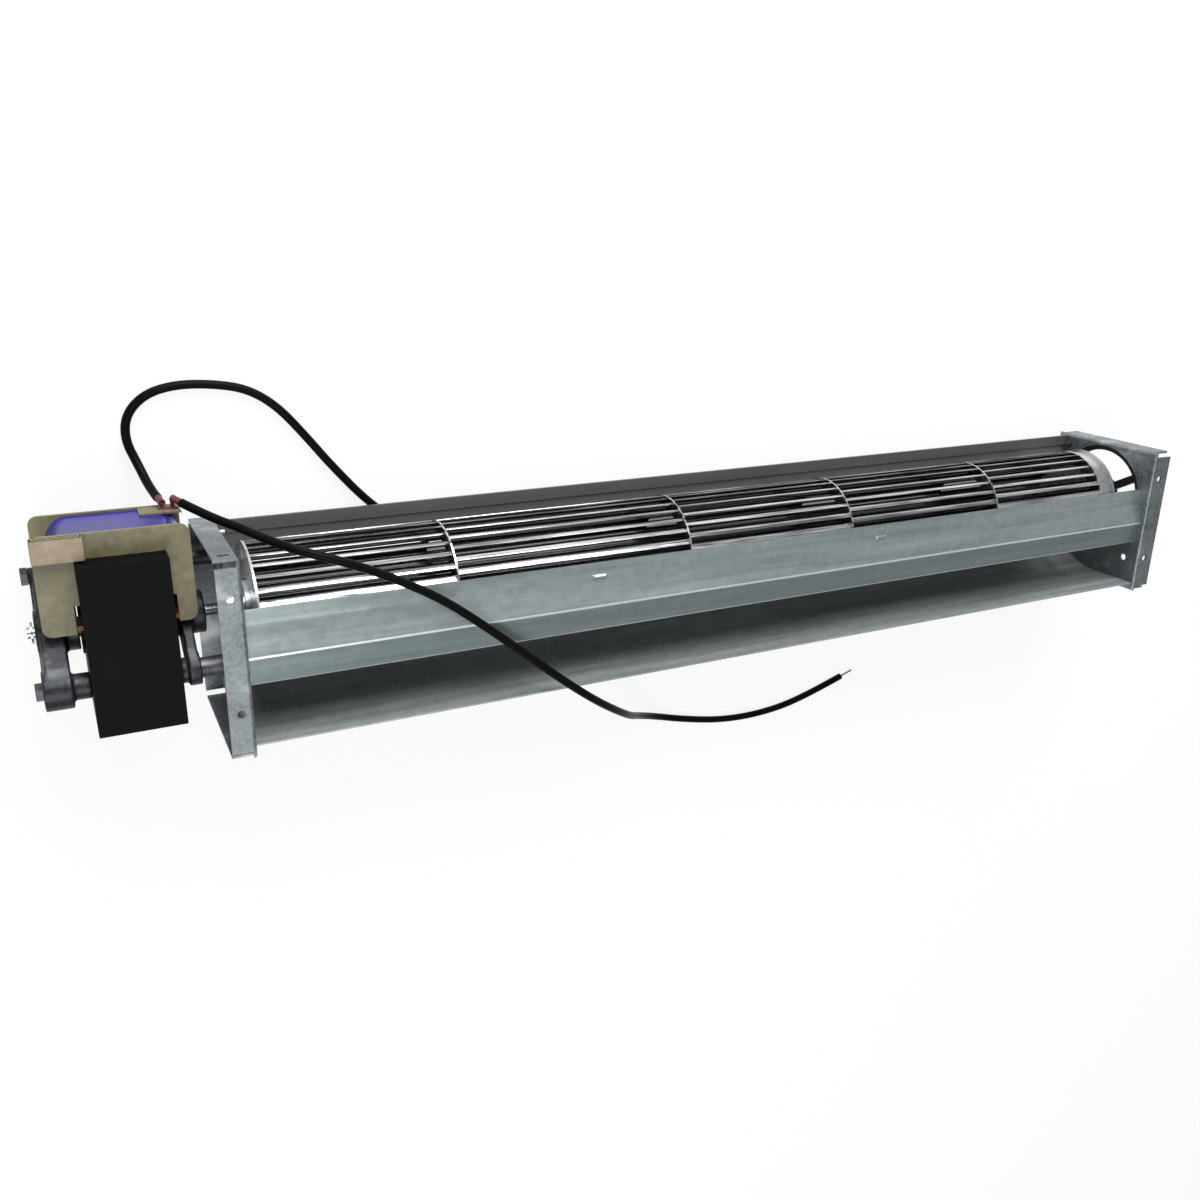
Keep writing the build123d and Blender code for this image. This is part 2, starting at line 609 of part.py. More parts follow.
REAR_LEAD, FRONT_LEAD = (
    [(x, SHELF_Y[1] + y, z) for x, y, z in route] for route in (REAR_ROUTE, FRONT_ROUTE)
)


def bobbin_flange(low, z):
    """Flange with rounded corners and a notch over the pole iron."""
    plate = block(*BOBBIN_X, low, BOBBIN_TOP, *z)
    plate = fillet(plate.edges().filter_by(Axis.Z), BOBBIN_CORNER_R)
    notch_x = (STACK_X[0] - SHADE_BAR - NOTCH_GAP, STACK_X[1] + SHADE_BAR + NOTCH_GAP)
    return plate - block(*notch_x, low - 1, WINDOW_Y[0] + NOTCH_GAP, z[0] - 1, z[1] + 1)


def coil_bobbin():
    """Moulded bobbin with a connector housing in front and a terminal shelf behind."""
    tube = block(*TUBE_X, *TUBE_Y, REAR_Z[0], FRONT_Z[1])
    socket_z = (FRONT_Z[1], FRONT_Z[1] + SOCKET_RISE)
    socket = block(
        BOBBIN_X[0], BOBBIN_X[0] + SOCKET_WIDTH, BOBBIN_TOP - SOCKET_HEIGHT, BOBBIN_TOP, *socket_z
    )
    pocket = block(
        BOBBIN_X[0] + SOCKET_WALL, BOBBIN_X[0] + SOCKET_WIDTH - SOCKET_WALL,
        BOBBIN_TOP - SOCKET_HEIGHT + SOCKET_WALL, BOBBIN_TOP + 1,
        socket_z[0], socket_z[1] - SOCKET_WALL,
    )
    shelf = block(BOBBIN_X[1] - SHELF_WIDTH, BOBBIN_X[1], *SHELF_Y, REAR_Z[1], REAR_Z[1] + SHELF_DEPTH)
    bobbin = joined([
        tube, bobbin_flange(BOBBIN_LOW, FRONT_Z), bobbin_flange(BOBBIN_REAR_LOW, REAR_Z),
        socket, shelf,
    ])
    opening = block(
        STACK_X[0] - BOBBIN_GAP, STACK_X[1] + BOBBIN_GAP,
        BAR_Y[0] - BOBBIN_GAP, BAR_Y[1] + BOBBIN_GAP, REAR_Z[0] - 1, FRONT_Z[1] + 1,
    )
    return bobbin - opening - pocket


def coil_winding():
    """Taped winding round the bobbin tube, arched at its top corners."""
    x = (STACK_X[0] - COIL_OUT, STACK_X[1] + COIL_IN)
    coil = block(*x, COIL_LOW, COIL_TOP, REAR_Z[1], FRONT_Z[0])
    corners = coil.edges().filter_by(Axis.Z).group_by(Axis.Y)
    coil = fillet(corners[-1], COIL_TOP_R)
    coil = fillet(coil.edges().filter_by(Axis.Z).group_by(Axis.Y)[0], COIL_LOW_R)
    inner = (TUBE_X[0] - PRESS_GAP, TUBE_X[1] + PRESS_GAP)
    inner_y = (TUBE_Y[0] - PRESS_GAP, TUBE_Y[1] + PRESS_GAP)
    return coil - block(*inner, *inner_y, REAR_Z[1] - 1, FRONT_Z[0] + 1)


# ---- leads ----
def lead_radii(points):
    """Bend radius at each inner point, as large as its two runs allow."""
    corners = [Vector(*p) for p in points]
    radii = []
    for before, here, after in zip(corners, corners[1:], corners[2:]):
        turn = radians((here - before).get_angle(after - here))
        shorter = min((here - before).length, (after - here).length)
        radii.append(0.45 * shorter / tan(turn / 2))
    return radii


def lead(points, name):
    """Wire of straight runs joined by arcs, and the bare conductor at its end."""
    radii = lead_radii(points)
    path = FilletPolyline(*points, radius=radii)
    wire = sweep(Plane(origin=path @ 0, z_dir=path % 0) * Circle(LEAD_R), path=path)
    end = Plane(origin=path @ 1, z_dir=path % 1)
    tip = extrude(end * Circle(CONDUCTOR_R), amount=CONDUCTOR_LENGTH)
    print(name, "length", round(path.length, 1), "volume ratio",
          round(wire.volume / (Circle(LEAD_R).area * path.length), 4),
          "radii", [round(r, 1) for r in radii])
    return wire, tip


def terminals():
    """Solder tags on the shelf, each with a barrel that holds one lead."""
    tags = []
    for points in (REAR_LEAD, FRONT_LEAD):
        start, following = Vector(*points[0]), Vector(*points[1])
        away = (following - start).normalized()
        back = start - away * BARREL_LENGTH
        barrel = extrude(Plane(origin=back, z_dir=away) * Circle(BARREL_R), amount=BARREL_LENGTH)
        foot = block(
            back.X - TAG_WIDTH / 2, back.X + TAG_WIDTH / 2, SHELF_Y[1], SHELF_Y[1] + TAG_T,
            back.Z - TAG_LENGTH / 2, back.Z + TAG_LENGTH / 4,
        )
        post = Pos(back.X, SHELF_Y[1] + (back.Y - SHELF_Y[1]) / 2, back.Z) * Rot(90, 0, 0)
        tags.append(joined([foot, barrel, post * Cylinder(TAG_POST_R, back.Y - SHELF_Y[1])]))
    return group(tags)


# ---- screws through the sheets ----
def pan_screw(face, outward, y, z):
    """Self-tapping screw with its head on the outer face of a sheet."""
    head = rod(face, face + outward * SHEET_HEAD_T, SHEET_HEAD_R, y, z)
    shank = rod(face, face - outward * SHEET_SCREW_LENGTH, SHEET_SCREW_R, y, z)
    return joined([head, shank])


def sheet_screws():
    """Screws that hold the wall and the rail between the plates."""
    return group(
        pan_screw(face, outward, y, z)
        for face, outward in ((WEB_X[0], -1), (WEB_X[1], 1))
        for y, z in SHEET_SCREWS
    )


def holder_screws():
    """Screws that hold the spider to the right plate."""
    return group(pan_screw(WEB_X[1] + HOLDER_T, 1, y, z) for y, z in HOLDER_SCREWS)


# ---- the whole fan ----
parts = {
    "left_end_plate": left_end_plate(),
    "right_end_plate": right_end_plate(),
    "scroll_wall": scroll_wall(),
    "tongue_rail": tongue_rail(),
    "bearing_holder": bearing_holder(),
    "far_bearing_rubber": far_bearing_rubber(),
    "far_bearing_bush": far_bearing_bush(),
    "motor_core": motor_core(),
    "coil_core_bar": coil_core_bar(),
    "shading_rings": shading_rings(),
    "coil_bobbin": coil_bobbin(),
    "coil_winding": coil_winding(),
    "terminals": terminals(),
    "outer_bearing_bracket": outer_bearing_bracket(),
    "inner_bearing_bracket": inner_bearing_bracket(),
    "motor_bushes": motor_bushes(),
    "motor_spacers": motor_spacers(),
    "motor_screws": motor_screws(),
    "motor_nuts": motor_nuts(),
    "sheet_screws": sheet_screws(),
    "holder_screws": holder_screws(),
    "motor_rotor": motor_rotor(),
    "motor_shaft": motor_shaft(),
    "drive_hub": drive_hub(),
    "clamp_screw": clamp_screw(),
    "drive_end_disc": drive_end_disc(),
    "far_end_disc": far_end_disc(),
    "stub_shaft": stub_shaft(),
    "retaining_rings": retaining_rings(),
}
for index, (first, last) in enumerate(zip(DIVIDER_X, DIVIDER_X[1:])):
    stagger = index % 2 * 180 / BLADE_COUNT
    parts[f"blade_section_{index + 1}"] = blade_section(first, last, stagger)

# The origin is the centre of the fan's box, on the surface; the leads don't count.
box = parts["left_end_plate"].bounding_box()
for part in parts.values():
    box = box.add(part.bounding_box())
origin = Vector(box.center().X, box.center().Y, box.min.Z)
print("origin in the fan's frame", [round(v, 3) for v in tuple(origin)])

parts["rear_lead"], rear_tip = lead(REAR_LEAD, "rear lead")
parts["front_lead"], front_tip = lead(FRONT_LEAD, "front lead")
parts["lead_conductors"] = group([rear_tip, front_tip])

os.makedirs("parts", exist_ok=True)
for name, part in parts.items():
    export_step(Pos(-origin.X, -origin.Y, -origin.Z) * part, f"parts/{name}.step")
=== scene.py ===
"""Looks of the cross flow fan: finishes, lead wires, studio and camera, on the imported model."""

import logging
import math
from dataclasses import dataclass, field
from enum import Enum
from typing import Any

import bmesh
import bpy
from mathutils import Matrix, Vector


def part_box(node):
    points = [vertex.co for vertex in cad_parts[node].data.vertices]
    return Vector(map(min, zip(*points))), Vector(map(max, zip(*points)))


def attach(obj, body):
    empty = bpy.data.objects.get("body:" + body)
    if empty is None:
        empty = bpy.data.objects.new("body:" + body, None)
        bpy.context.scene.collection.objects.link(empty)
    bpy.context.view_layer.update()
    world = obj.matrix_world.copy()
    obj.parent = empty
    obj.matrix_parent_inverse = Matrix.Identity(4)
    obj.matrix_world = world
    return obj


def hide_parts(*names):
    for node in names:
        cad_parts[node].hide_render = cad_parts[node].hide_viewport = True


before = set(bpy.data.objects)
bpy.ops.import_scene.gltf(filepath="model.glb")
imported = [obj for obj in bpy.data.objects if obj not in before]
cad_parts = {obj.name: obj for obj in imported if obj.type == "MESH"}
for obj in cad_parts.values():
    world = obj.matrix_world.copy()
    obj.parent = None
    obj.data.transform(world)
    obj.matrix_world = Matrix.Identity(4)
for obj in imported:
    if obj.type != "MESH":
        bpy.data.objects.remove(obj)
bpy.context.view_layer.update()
log = logging.getLogger("fan")

Point = tuple[float, float, float]
Scale = tuple[float, float, float]
MM = 1000.0  # millimetres in a metre: pattern coordinates are in millimetres
HOUSING = "housing"
SHAFT_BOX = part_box("motor_shaft")
SHAFT_Y, SHAFT_Z = ((SHAFT_BOX[0][i] + SHAFT_BOX[1][i]) / 2 for i in (1, 2))
RAIL_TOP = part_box("tongue_rail")[1][1]
LEDGE_Y = RAIL_TOP - 0.0210    # bend between the rail's upper face and its lip
LIP_Y = RAIL_TOP - 0.0338      # bend at the lip's lower edge
PAINTED_SHADE_RADIUS = 0.0225           # inner edges of the blades, where the painted shade is full; in metres from the shaft
UNSHADED_RADIUS = 0.0292         # outer edges of the blades, where there is no painted shade

SPANGLE_MM = 4.0               # zinc crystals
SPANGLE_SHARE = 0.12           # faint, as on temper-rolled sheet
FOLD_WIDTH = 0.0005            # half of a painted highlight line on a bend, in metres
PAINTED_BEND_HIGHLIGHT = "#F6FAF9"          # painted highlight along a bend
FINE_DETAIL = 5.0              # octaves of a skin's fine unevenness
LAYER_DETAIL = 1.0             # octaves of plain parallel edges
BROAD_DETAIL = 4.0             # octaves of the broad unevenness
NOISE_ROUGHNESS = 0.6          # weight of each octave against the one before
STREAK_NOISE = (0.36, 0.64)    # noise from the dimmest to the brightest streak
STREAK_TONE = (0.2, 1.0)       # tone of those streaks
TONE_ENDS = (0.28, 0.72)       # tones that reach the dark and the light colour
ROUGH_ENDS = (0.25, 0.75)      # tones that reach the ends of the roughness
WEAR_START = 0.62              # unevenness where rubbing would start with no wear
WEAR_REACH = 0.2               # how far full wear brings that start down
WEAR_FULL = 0.72               # unevenness where the rubbing is strongest
WEAR_COVER = 0.85              # share of the rubbed colour there
BUMP_STRENGTH = 0.6            # share of the relief that the light shows
BROAD_SHARE = 0.4              # broad unevenness in the tone
BLADE_BROAD_SHARE = 0.08       # less on blades, which keep their sharp streaks


class Grain(Enum):
    """Pattern that breaks up a surface."""

    CLOUDS = "clouds"      # soft unevenness of a moulded or cast skin
    SPANGLE = "spangle"    # zinc crystals under the streaks of rolling
    LAYERS = "layers"      # parallel edges of laminations or of wound tape
    BLADES = "blades"      # streaks along the blades, with painted shade towards their inner edges


def linear(hex_colour: str) -> tuple[float, float, float, float]:
    """Turns an sRGB hex colour into linear RGBA.

    Args:
        hex_colour: Colour as "#RRGGBB".

    Returns:
        Linear red, green, blue and an alpha of 1.
    """
    values = [int(hex_colour[i:i + 2], 16) / 255 for i in (1, 3, 5)]
    red, green, blue = (v / 12.92 if v <= 0.04045 else ((v + 0.055) / 1.055) ** 2.4
                        for v in values)
    return (red, green, blue, 1.0)


def add_node(tree: bpy.types.NodeTree, kind: str, links: dict[str | int, Any] | None = None,
             **settings: Any) -> bpy.types.Node:
    """Adds one node with its settings and its inputs.

    Args:
        tree: Node tree that gets the node.
        kind: Blender's name of the node type.
        links: For each input socket, a value or the output socket to link to it.
        settings: Attributes to set on the node first.

    Returns:
        The new node.
    """
    node = tree.nodes.new(kind)
    for name, value in settings.items():
        setattr(node, name, value)
    for name, value in (links or {}).items():
        if isinstance(value, bpy.types.NodeSocket):
            tree.links.new(value, node.inputs[name])
        else:
            node.inputs[name].default_value = value
    return node


def blend(tree: bpy.types.NodeTree, share: bpy.types.NodeSocket, under: bpy.types.NodeSocket,
          over: str) -> bpy.types.NodeSocket:
    """Lays a colour over another.

    Args:
        tree: Node tree of both.
        share: Cover of the upper colour, from 0 to 1.
        under: Lower colour.
        over: Upper colour as "#RRGGBB".

    Returns:
        Socket with the blended colour.
    """
    return add_node(tree, "ShaderNodeMix", {0: share, 6: under, 7: linear(over)},
                    data_type="RGBA").outputs[2]


def remap(tree: bpy.types.NodeTree, value: bpy.types.NodeSocket, start: tuple[float, float],
          end: tuple[float, float] = (0.0, 1.0)) -> bpy.types.NodeSocket:
    """Stretches a range of values over another one, clamped at its ends.

    Args:
        tree: Node tree that gets the node.
        value: Value to stretch.
        start: Range that it comes from.
        end: Range that it goes to.

    Returns:
        Socket with the new value.
    """
    return add_node(tree, "ShaderNodeMapRange", {
        "Value": value, "From Min": start[0], "From Max": start[1],
        "To Min": end[0], "To Max": end[1]}).outputs[0]


def mesh_of(name: str, form: bmesh.types.BMesh) -> bpy.types.Mesh:
    """Turns a bmesh into a mesh, and frees it.

    Args:
        name: Mesh's name.
        form: The bmesh.

    Returns:
        The mesh.
    """
    mesh = bpy.data.meshes.new(name)
    form.to_mesh(mesh)
    form.free()
    return mesh


def placed(name: str, data: bpy.types.ID) -> bpy.types.Object:
    """Puts an object into the scene.

    Args:
        name: Object's name.
        data: Its mesh, curve, lamp or camera.

    Returns:
        The object.
    """
    piece = bpy.data.objects.new(name, data)
    bpy.context.scene.collection.objects.link(piece)
    return piece


@dataclass(frozen=True)
class Finish:
    """Surface finish of one real material.

    Args:
        name: Material's name.
        light: Colour of the paler places.
        dark: Colour of the darker places.
        metallic: 1 for bare metal.
        roughness: Mean roughness.
        spread: Change of roughness over the surface.
        grain: Kind of pattern.
        size_mm: Size of one pattern feature.
        stretch: Pattern frequency along X, Y and Z, relative to its size.
        relief_mm: Height of the pattern.
        wear: Colour of rubbed places.
        wear_level: Share of the surface that is rubbed.
        drift: Frequency of the broad unevenness along X, Y and Z, per metre.
        painted_shade: Colour of painted shade, laid over the surface along Y.
        painted_shade_y: Places along Y where the painted shade starts and where it is darkest.
        painted_shade_level: Cover of the painted shade where it is darkest.
        highlight_folds: Places along Y of the bends, where a bright line is painted on as a
            highlight.
        specular: Strength of the surface reflection, for what isn't metal.
        ior: Index of refraction, for what isn't metal.
    """

    name: str
    light: str
    dark: str
    metallic: float = 0.0
    roughness: float = 0.5
    spread: float = 0.08
    grain: Grain = Grain.CLOUDS
    size_mm: float = 3.0
    stretch: Scale = (1.0, 1.0, 1.0)
    relief_mm: float = 0.02
    wear: str | None = None
    wear_level: float = 0.3
    drift: Scale = (35.0, 60.0, 60.0)
    painted_shade: str | None = None
    painted_shade_y: tuple[float, float] = (0.0, 0.03)
    painted_shade_level: float = 0.9
    highlight_folds: tuple[float, ...] = ()
    specular: float = 0.5
    ior: float = 1.5

    def pattern(self, tree: bpy.types.NodeTree,
                where: bpy.types.NodeSocket) -> bpy.types.NodeSocket:
        """Draws the grain; for blades it also holds painted shade towards their inner edges.

        Args:
            tree: The material's node tree.
            where: Place on the piece, in metres.

        Returns:
            Socket with the pattern, from 0 to 1.
        """
        scale = tuple(MM * s / self.size_mm for s in self.stretch)
        place = add_node(tree, "ShaderNodeMapping", {"Vector": where, "Scale": scale}).outputs[0]
        detail = LAYER_DETAIL if self.grain is Grain.LAYERS else FINE_DETAIL
        noise = add_node(tree, "ShaderNodeTexNoise", {
            "Vector": place, "Scale": 1.0, "Detail": detail,
            "Roughness": NOISE_ROUGHNESS}).outputs["Fac"]
        if self.grain is Grain.SPANGLE:
            cells = add_node(tree, "ShaderNodeTexVoronoi", {
                "Vector": where, "Scale": MM / SPANGLE_MM}, feature="F1")
            crystal = add_node(tree, "ShaderNodeSeparateColor", {"Color": cells.outputs["Color"]})
            return add_node(tree, "ShaderNodeMix", {
                0: SPANGLE_SHARE, 2: noise, 3: crystal.outputs[0]}, data_type="FLOAT").outputs[0]
        if self.grain is Grain.BLADES:
            from_shaft = add_node(tree, "ShaderNodeVectorMath", {
                0: where, 1: (0.0, SHAFT_Y, SHAFT_Z)}, operation="SUBTRACT").outputs[0]
            across = add_node(tree, "ShaderNodeVectorMath", {
                0: from_shaft, 1: (0.0, 1.0, 1.0)}, operation="MULTIPLY").outputs[0]
            radius = add_node(tree, "ShaderNodeVectorMath", {0: across}, operation="LENGTH")
            # Painted shade: the tone falls towards the blades' inner edges, where the drum's
            # inside gets little light.
            unshaded = remap(tree, radius.outputs["Value"], (PAINTED_SHADE_RADIUS, UNSHADED_RADIUS))
            streaks = remap(tree, noise, STREAK_NOISE, STREAK_TONE)
            return add_node(tree, "ShaderNodeMath", {0: unshaded, 1: streaks},
                            operation="MULTIPLY").outputs[0]
        return noise

    def colour(self, tree: bpy.types.NodeTree, where: bpy.types.NodeSocket,
               tone: bpy.types.NodeSocket, broad: bpy.types.NodeSocket) -> bpy.types.NodeSocket:
        """Colours the surface, with its wear, its painted shade and the highlights painted along
        its bends.

        Args:
            tree: The material's node tree.
            where: Place on the piece, in metres.
            tone: From dark to light.
            broad: Broad unevenness.

        Returns:
            Socket with the colour.
        """
        ramp = add_node(tree, "ShaderNodeValToRGB", {"Fac": tone})
        low, high = ramp.color_ramp.elements
        low.position, high.position = TONE_ENDS
        low.color, high.color = linear(self.dark), linear(self.light)
        colour = ramp.outputs["Color"]
        if self.wear:
            start = WEAR_START - WEAR_REACH * self.wear_level
            rubbed = remap(tree, broad, (start, WEAR_FULL), (0.0, WEAR_COVER))
            colour = blend(tree, rubbed, colour, self.wear)
        height = add_node(tree, "ShaderNodeSeparateXYZ", {0: where}).outputs["Y"]
        # Painted shade: a darker colour laid over the surface along Y.
        if self.painted_shade:
            shaded_share = remap(tree, height, self.painted_shade_y, (0.0, self.painted_shade_level))
            colour = blend(tree, shaded_share, colour, self.painted_shade)
        # Painted highlight: a bright line along each bend.
        for fold in self.highlight_folds:
            near = add_node(tree, "ShaderNodeMath", {0: height, 1: fold, 2: FOLD_WIDTH},
                            operation="COMPARE").outputs[0]
            colour = blend(tree, near, colour, PAINTED_BEND_HIGHLIGHT)
        return colour

    def build(self) -> bpy.types.Material:
        """Builds the material, or finds it if another piece has it already.

        Returns:
            The material.
        """
        known = bpy.data.materials.get(self.name)
        if known:
            return known
        material = bpy.data.materials.new(self.name)
        material.use_nodes = True
        tree = material.node_tree
        tree.nodes.clear()
        where = add_node(tree, "ShaderNodeTexCoord").outputs["Object"]
        grain = self.pattern(tree, where)
        broad_place = add_node(tree, "ShaderNodeMapping", {"Vector": where, "Scale": self.drift})
        broad = add_node(tree, "ShaderNodeTexNoise", {
            "Vector": broad_place.outputs[0], "Scale": 1.0,
            "Detail": BROAD_DETAIL}).outputs["Fac"]
        share = BLADE_BROAD_SHARE if self.grain is Grain.BLADES else BROAD_SHARE
        tone = add_node(tree, "ShaderNodeMix", {0: share, 2: grain, 3: broad},
                        data_type="FLOAT").outputs[0]
        rough = remap(tree, tone, ROUGH_ENDS,
                      (self.roughness - self.spread, self.roughness + self.spread))
        bump = add_node(tree, "ShaderNodeBump", {
            "Height": grain, "Strength": BUMP_STRENGTH, "Distance": self.relief_mm / MM})
        shader = add_node(tree, "ShaderNodeBsdfPrincipled", {
            "Base Color": self.colour(tree, where, tone, broad), "Metallic": self.metallic,
            "Roughness": rough, "Normal": bump.outputs[0], "IOR": self.ior,
            "Specular IOR Level": self.specular})
        add_node(tree, "ShaderNodeOutputMaterial", {"Surface": shader.outputs[0]})
        material.diffuse_color = linear(self.light)
        return material


# Hot-dip galvanised steel sheet, temper-rolled: greenish grey, smooth, with long faint streaks;
# painted shade on the rail's lip below the ledge and painted highlights along its bends.
GALVANISED = Finish("galvanised_steel_sheet", "#C6CFCF", "#8F9B9B", 0.9, 0.34, 0.07, Grain.SPANGLE,
                    size_mm=4.0, stretch=(0.04, 1.0, 1.0), relief_mm=0.004,
                    drift=(5.0, 90.0, 90.0), painted_shade="#6E7D7C",
                    painted_shade_y=(LEDGE_Y - 0.0004, LEDGE_Y - 0.0012), painted_shade_level=0.6,
                    highlight_folds=(LEDGE_Y, LIP_Y))
# The same sheet in the channel: a flatter grey, with painted shade darkening it towards the top
# edge.
SHADE_PAINTED_GALVANISED = Finish("galvanised_steel_channel", "#AEB3B2", "#70767A", 0.35, 0.42, 0.08,
                          Grain.SPANGLE, size_mm=5.0, stretch=(0.04, 1.0, 1.0), relief_mm=0.004,
                          drift=(5.0, 70.0, 70.0), painted_shade="#54514E", painted_shade_y=(0.004, 0.030))
# The same sheet in the end plates, handled and scuffed to a mottled grey.
SCUFFED_GALVANISED = Finish("scuffed_galvanised_plate", "#9AA0A3", "#565C5F", 0.8, 0.46, 0.1,
                            size_mm=1.6, relief_mm=0.04, wear="#C6CACC")
# Bright rolled aluminium strip: mirror-like streaks along the blades, with painted shade towards
# the inside of the drum.
ROLLED_ALUMINIUM = Finish("bright_rolled_aluminium", "#E6E6E4", "#808184", 1.0, 0.17, 0.05,
                          Grain.BLADES, size_mm=1.6, stretch=(0.03, 1.0, 1.0), relief_mm=0.02)
# The same aluminium in the discs: satin, so that their rims draw thin pale lines.
PRESSED_ALUMINIUM = Finish("pressed_aluminium_disc", "#E4E5E6", "#B4B7B9", 1.0, 0.28, 0.06,
                           size_mm=1.4, relief_mm=0.006)
# Turned aluminium of the hub: fine pale rings.
TURNED_ALUMINIUM = Finish("turned_aluminium", "#D2D4D6", "#A9ACAF", 1.0, 0.3, 0.06,
                          Grain.LAYERS, size_mm=0.5, stretch=(1.0, 0.05, 0.05), relief_mm=0.008)
# Stamped laminations dipped in black varnish: nearly black, with fine edge lines.
VARNISHED_STACK = Finish("varnished_laminations", "#0C0C0D", "#050506", 0.0, 0.5, 0.08,
                         Grain.LAYERS, size_mm=0.9, stretch=(1.0, 0.02, 0.02), relief_mm=0.03,
                         specular=0.06)
# Moulded nylon 6 in its natural beige, aged olive.
MOULDED_NYLON = Finish("moulded_beige_nylon", "#827B5C", "#514C36", 0.0, 0.42, 0.06,
                       size_mm=4.0, relief_mm=0.03, specular=0.35, ior=1.53)
# The same nylon in the connector's cover: newer, a paler beige.
PALE_NYLON = Finish("moulded_pale_nylon", "#9C8D76", "#776A53", 0.0, 0.42, 0.06,
                    size_mm=4.0, relief_mm=0.03, specular=0.35, ior=1.53)
# Polyester tape wound over the coil: glossy, with the overlap of each turn.
WOUND_TAPE = Finish("wound_polyester_tape", "#2F2796", "#120C4C", 0.0, 0.32, 0.08, Grain.LAYERS,
                    size_mm=3.4, stretch=(0.03, 0.05, 1.0), relief_mm=0.12, specular=0.2, ior=1.57)
# Pressure die-cast aluminium alloy, left raw and oxidised dark, bright on its high spots.
DIE_CAST = Finish("die_cast_aluminium", "#404246", "#121315", 0.7, 0.42, 0.1,
                  size_mm=1.6, relief_mm=0.12, wear="#74777A", wear_level=0.25)
# Moulded black nylon of the bearing holder: black with a soft sheen.
BLACK_NYLON = Finish("moulded_black_nylon", "#1A1A1B", "#0E0E0F", 0.0, 0.42, 0.06,
                     size_mm=2.0, relief_mm=0.02, ior=1.53)
# Moulded nitrile rubber: black and dull.
NITRILE_RUBBER = Finish("moulded_nitrile_rubber", "#171717", "#0C0C0C", 0.0, 0.7, 0.06,
                        size_mm=1.0, relief_mm=0.01, ior=1.52)
# Sintered bronze, porous and oily: brown, with a dim glow.
SINTERED_BRONZE = Finish("sintered_bronze", "#8E6A3E", "#5E4426", 1.0, 0.42, 0.08,
                         size_mm=0.5, relief_mm=0.02)
# Drawn copper of the shading rings, browned under the varnish.
VARNISHED_COPPER = Finish("varnished_copper", "#6E4632", "#3A2419", 0.9, 0.45, 0.08,
                          size_mm=1.5, relief_mm=0.01)
# Cold-headed steel with bright zinc plate: small clear glints.
ZINC_PLATED = Finish("zinc_plated_steel", "#BFC1C2", "#8C8F91", 1.0, 0.3, 0.08,
                     size_mm=1.0, relief_mm=0.01)
# Ground steel bar: a clear glint with fine rings round the shaft.
GROUND_STEEL = Finish("ground_steel", "#C9CBCC", "#9A9DA0", 1.0, 0.22, 0.05, Grain.LAYERS,
                      size_mm=0.4, stretch=(1.0, 0.05, 0.05), relief_mm=0.004)
# Blackened steel of the long screws and their tubes: dull grey on the edges.
BLACKENED_STEEL = Finish("blackened_steel", "#5B5D60", "#2B2C2E", 0.9, 0.4, 0.08,
                         size_mm=1.2, relief_mm=0.02, wear="#85878A", wear_level=0.2)
# Crimp barrels under a dull red sleeve.
RED_SLEEVE = Finish("red_insulating_sleeve", "#7C4147", "#3F1D21", 0.0, 0.45, 0.06,
                    size_mm=1.5, relief_mm=0.02, specular=0.3)
# Extruded PVC insulation, black with a soft sheen.
EXTRUDED_PVC = Finish("extruded_black_pvc", "#070708", "#030303", 0.0, 0.45, 0.05,
                      size_mm=1.2, relief_mm=0.01, specular=0.07, ior=1.54)
# Tinned copper strands, twisted: warm and bright at the bare ends.
TINNED_STRANDS = Finish("tinned_copper_strands", "#D8CFC2", "#8C8172", 1.0, 0.35, 0.1,
                        size_mm=0.3, stretch=(1.0, 0.4, 1.0), relief_mm=0.05)


def dress(finish: Finish, *nodes: str) -> None:
    """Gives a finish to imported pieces.

    Args:
        finish: The finish.
        nodes: Names of the pieces.
    """
    material = finish.build()
    for name in nodes:
        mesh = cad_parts[name].data
        mesh.materials.clear()
        mesh.materials.append(material)
        log.info("%s: %s", name, finish.name)


@dataclass
class Duct:
    """Folded sheets: the two end plates, the scroll wall and the tongue rail."""

    plates: tuple[str, ...] = ("left_end_plate", "right_end_plate")

    def dress(self) -> None:
        """Dresses the sheets in galvanised steel."""
        # The scroll wall's finish carries painted shade towards its top edge.
        dress(SHADE_PAINTED_GALVANISED, "scroll_wall")
        # The rail's finish carries painted shade on its lip and painted highlights along its
        # bends.
        dress(GALVANISED, "tongue_rail")
        dress(SCUFFED_GALVANISED, *self.plates)
        dress(ZINC_PLATED, "sheet_screws")


@dataclass
class Impeller:
    """Bladed drum on its two shafts."""

    sections: int = 5

    def dress(self) -> None:
        """Dresses the blades, discs, hub and shafts."""
        blades = [f"blade_section_{i + 1}" for i in range(self.sections)]
        dress(ROLLED_ALUMINIUM, *blades)
        dress(PRESSED_ALUMINIUM, "drive_end_disc", "far_end_disc")
        dress(TURNED_ALUMINIUM, "drive_hub")
        dress(GROUND_STEEL, "motor_shaft", "stub_shaft")
        dress(ZINC_PLATED, "clamp_screw", "retaining_rings")


@dataclass
class FarBearing:
    """Spider, rubber ring and bush at the far end."""

    def dress(self) -> None:
        """Dresses the bearing's pieces."""
        dress(BLACK_NYLON, "bearing_holder")
        dress(NITRILE_RUBBER, "far_bearing_rubber")
        dress(SINTERED_BRONZE, "far_bearing_bush")
        dress(ZINC_PLATED, "holder_screws")


